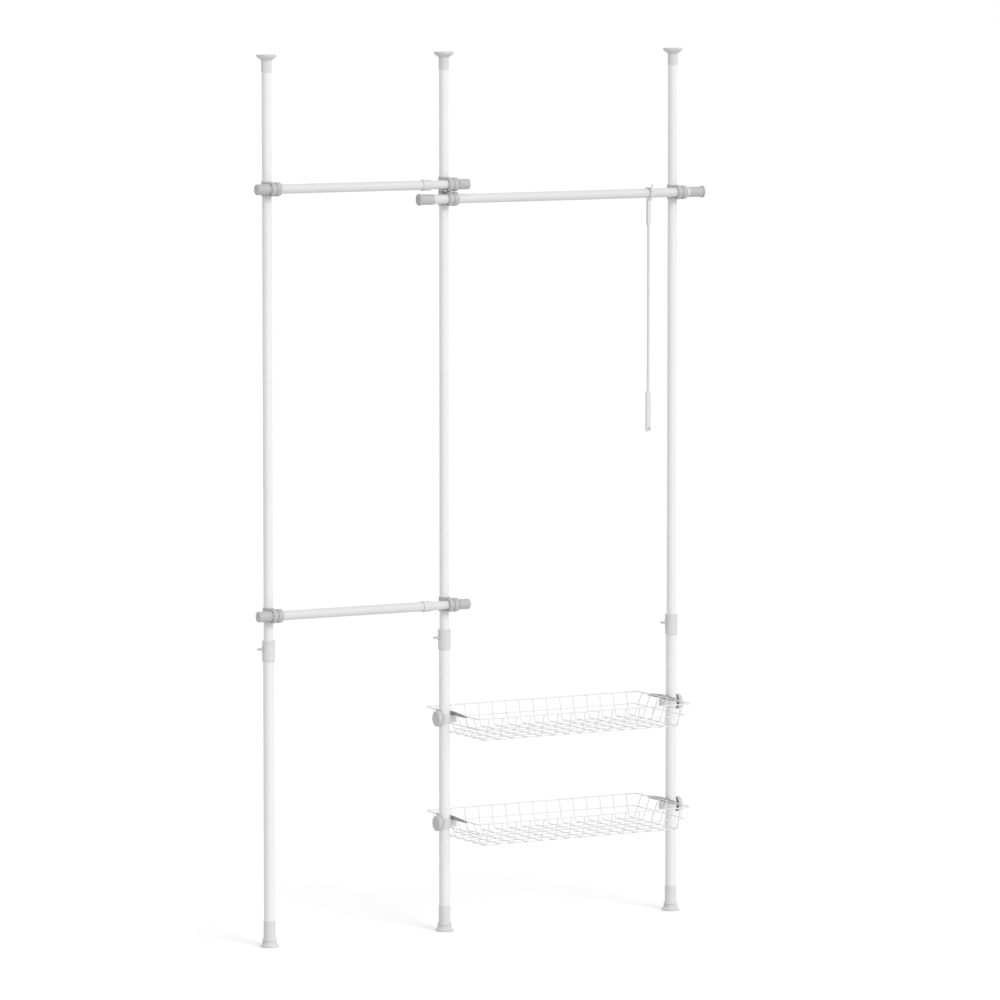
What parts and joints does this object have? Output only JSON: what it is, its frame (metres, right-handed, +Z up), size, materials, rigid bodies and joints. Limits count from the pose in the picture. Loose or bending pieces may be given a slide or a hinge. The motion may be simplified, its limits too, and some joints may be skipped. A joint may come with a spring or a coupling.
{
  "type": "clothes rack",
  "caption": "Floor-to-ceiling telescopic clothes rack with hanging rails, wire baskets on clamp brackets and a pull-down hook stick",
  "frame": {"origin": "on the floor, at the middle of the centre pole's foot", "axes": "X along the row of poles, left pole at -X; the front, where the rails are, faces -Y; Z up"},
  "size_m": [1.491, 0.3338, 2.6],
  "materials": {
    "white_tube": "smooth white powder coat on steel tube",
    "grey_plastic": "light grey moulded plastic, satin",
    "pad_rubber": "grey moulded plastic with a fine grip texture",
    "knob_plastic": "light grey moulded plastic, satin",
    "wing_plastic": "light grey moulded plastic, satin",
    "steel_arm": "dark zinc-plated pressed steel",
    "white_wire": "white coated steel wire",
    "hook_white": "off-white moulded plastic",
    "plain_steel": "plain steel ferrule hidden in the tubes"
  },
  "bodies": {
    "centre_foot": {"centre_foot_pad": "pad_rubber"},
    "lower_frame": {"centre_lower_tube": "white_tube", "right_lower_tube": "white_tube", "right_bay_foot_sleeves": "grey_plastic", "right_bay_lock_collars": "grey_plastic"},
    "right_foot": {"right_foot_pad": "pad_rubber"},
    "left_foot": {"left_foot_pad": "pad_rubber"},
    "left_leg": {"left_lower_tube": "white_tube", "left_foot_sleeve": "grey_plastic", "left_lock_collar": "grey_plastic"},
    "left_wing": {"left_wing_screw": "wing_plastic"},
    "centre_wing": {"centre_wing_screw": "wing_plastic"},
    "right_wing": {"right_wing_screw": "wing_plastic"},
    "upper_frame": {"centre_middle_tube": "white_tube", "right_middle_tube": "white_tube", "centre_top_tube": "white_tube", "right_top_tube": "white_tube", "right_bay_tube_joints": "plain_steel", "right_bay_cap_sleeves": "grey_plastic", "right_bay_ceiling_pads": "pad_rubber"},
    "left_column": {"left_middle_tube": "white_tube", "left_top_tube": "white_tube", "left_tube_joint": "plain_steel", "left_cap_sleeve": "grey_plastic", "left_ceiling_pad": "pad_rubber"},
    "right_rail": {"right_rail_tube": "white_tube", "right_rail_end_caps": "grey_plastic", "right_rail_centre_clamp": "grey_plastic", "right_rail_right_clamp": "grey_plastic"},
    "hook_stick": {"hook_head": "hook_white", "hook_shaft": "white_tube", "hook_grip": "hook_white"},
    "left_upper_rail_inner": {"left_upper_rail_inner_tube": "white_tube", "left_upper_rail_right_cap": "grey_plastic", "left_upper_rail_centre_clamp": "grey_plastic"},
    "left_upper_rail_outer": {"left_upper_rail_outer_tube": "white_tube", "left_upper_rail_reducer": "grey_plastic", "left_upper_rail_left_cap": "grey_plastic", "left_upper_rail_left_clamp": "grey_plastic"},
    "left_lower_rail_inner": {"left_lower_rail_inner_tube": "white_tube", "left_lower_rail_right_cap": "grey_plastic", "left_lower_rail_centre_clamp": "grey_plastic"},
    "left_lower_rail_outer": {"left_lower_rail_outer_tube": "white_tube", "left_lower_rail_reducer": "grey_plastic", "left_lower_rail_left_cap": "grey_plastic", "left_lower_rail_left_clamp": "grey_plastic"},
    "upper_bracket": {"upper_basket_jaws": "grey_plastic", "upper_basket_arms": "steel_arm"},
    "upper_basket": {"upper_basket_rim_wires": "white_wire", "upper_basket_cross_wires": "white_wire", "upper_basket_long_wires": "white_wire"},
    "upper_left_knob": {"upper_basket_left_knob": "knob_plastic"},
    "upper_right_knob": {"upper_basket_right_knob": "knob_plastic"},
    "lower_bracket": {"lower_basket_jaws": "grey_plastic", "lower_basket_arms": "steel_arm"},
    "lower_basket": {"lower_basket_rim_wires": "white_wire", "lower_basket_cross_wires": "white_wire", "lower_basket_long_wires": "white_wire"},
    "lower_left_knob": {"lower_basket_left_knob": "knob_plastic"},
    "lower_right_knob": {"lower_basket_right_knob": "knob_plastic"}
  },
  "joints": [
    {"name": "foot_jack_height", "type": "slide", "parent": "centre_foot", "child": "lower_frame", "axis": [0, 0, 1], "range_m": [0, 0.015]},
    {"name": "right_foot_jack", "type": "slide", "parent": "lower_frame", "child": "right_foot", "axis": [0, 0, 1], "range_m": [-0.015, 0]},
    {"name": "left_foot_jack", "type": "slide", "parent": "left_leg", "child": "left_foot", "axis": [0, 0, 1], "range_m": [-0.015, 0]},
    {"name": "pole_height", "type": "slide", "parent": "lower_frame", "child": "upper_frame", "axis": [0, 0, 1], "range_m": [-0.05, 0.45]},
    {"name": "left_bay_width", "type": "slide", "parent": "upper_frame", "child": "left_column", "axis": [-1, 0, 0], "range_m": [-0.035, 0.24]},
    {"name": "left_leg_height", "type": "slide", "parent": "left_column", "child": "left_leg", "axis": [0, 0, 1], "range_m": [-0.45, 0.05]},
    {"name": "left_wing_turn", "type": "hinge", "parent": "left_leg", "child": "left_wing", "pos_m": [-0.58, 0, 0.876], "axis": [-1, 0, 0], "continuous": true},
    {"name": "centre_wing_turn", "type": "hinge", "parent": "lower_frame", "child": "centre_wing", "pos_m": [0, 0, 0.876], "axis": [-1, 0, 0], "continuous": true},
    {"name": "right_wing_turn", "type": "hinge", "parent": "lower_frame", "child": "right_wing", "pos_m": [0.775, 0, 0.876], "axis": [-1, 0, 0], "continuous": true},
    {"name": "left_upper_rail_height", "type": "slide", "parent": "upper_frame", "child": "left_upper_rail_inner", "axis": [0, 0, 1], "range_m": [0, 0.31]},
    {"name": "left_upper_rail_far_end", "type": "slide", "parent": "left_column", "child": "left_upper_rail_outer", "axis": [0, 0, 1], "range_m": [0, 0.31]},
    {"name": "left_lower_rail_height", "type": "slide", "parent": "upper_frame", "child": "left_lower_rail_inner", "axis": [0, 0, 1], "range_m": [0, 0.5]},
    {"name": "left_lower_rail_far_end", "type": "slide", "parent": "left_column", "child": "left_lower_rail_outer", "axis": [0, 0, 1], "range_m": [0, 0.5]},
    {"name": "right_rail_height", "type": "slide", "parent": "upper_frame", "child": "right_rail", "axis": [0, 0, 1], "range_m": [-0.5, 0]},
    {"name": "hook_swing", "type": "hinge", "parent": "right_rail", "child": "hook_stick", "pos_m": [0.675, -0.034, 2.171], "axis": [1, 0, 0], "range_deg": [-60, 60]},
    {"name": "upper_basket_height", "type": "slide", "parent": "lower_frame", "child": "upper_bracket", "axis": [0, 0, 1], "range_m": [-0.06, 0.16]},
    {"name": "upper_basket_lift", "type": "slide", "parent": "upper_bracket", "child": "upper_basket", "axis": [0, 0, 1], "range_m": [0, 0.09]},
    {"name": "upper_left_knob_turn", "type": "hinge", "parent": "upper_bracket", "child": "upper_left_knob", "pos_m": [0, 0, 0.635], "axis": [-1, 0, 0], "continuous": true},
    {"name": "upper_right_knob_turn", "type": "hinge", "parent": "upper_bracket", "child": "upper_right_knob", "pos_m": [0.775, 0, 0.635], "axis": [1, 0, 0], "continuous": true},
    {"name": "lower_basket_height", "type": "slide", "parent": "lower_frame", "child": "lower_bracket", "axis": [0, 0, 1], "range_m": [-0.22, 0.06]},
    {"name": "lower_basket_lift", "type": "slide", "parent": "lower_bracket", "child": "lower_basket", "axis": [0, 0, 1], "range_m": [0, 0.09]},
    {"name": "lower_left_knob_turn", "type": "hinge", "parent": "lower_bracket", "child": "lower_left_knob", "pos_m": [0, 0, 0.323], "axis": [-1, 0, 0], "continuous": true},
    {"name": "lower_right_knob_turn", "type": "hinge", "parent": "lower_bracket", "child": "lower_right_knob", "pos_m": [0.775, 0, 0.323], "axis": [1, 0, 0], "continuous": true}
  ],
  "couplings": [
    {"joint": "right_foot_jack", "follows": "foot_jack_height", "ratio": -1},
    {"joint": "left_foot_jack", "follows": "foot_jack_height", "ratio": -1},
    {"joint": "left_leg_height", "follows": "pole_height", "ratio": -1},
    {"joint": "left_upper_rail_far_end", "follows": "left_upper_rail_height", "ratio": 1},
    {"joint": "left_lower_rail_far_end", "follows": "left_lower_rail_height", "ratio": 1}
  ]
}
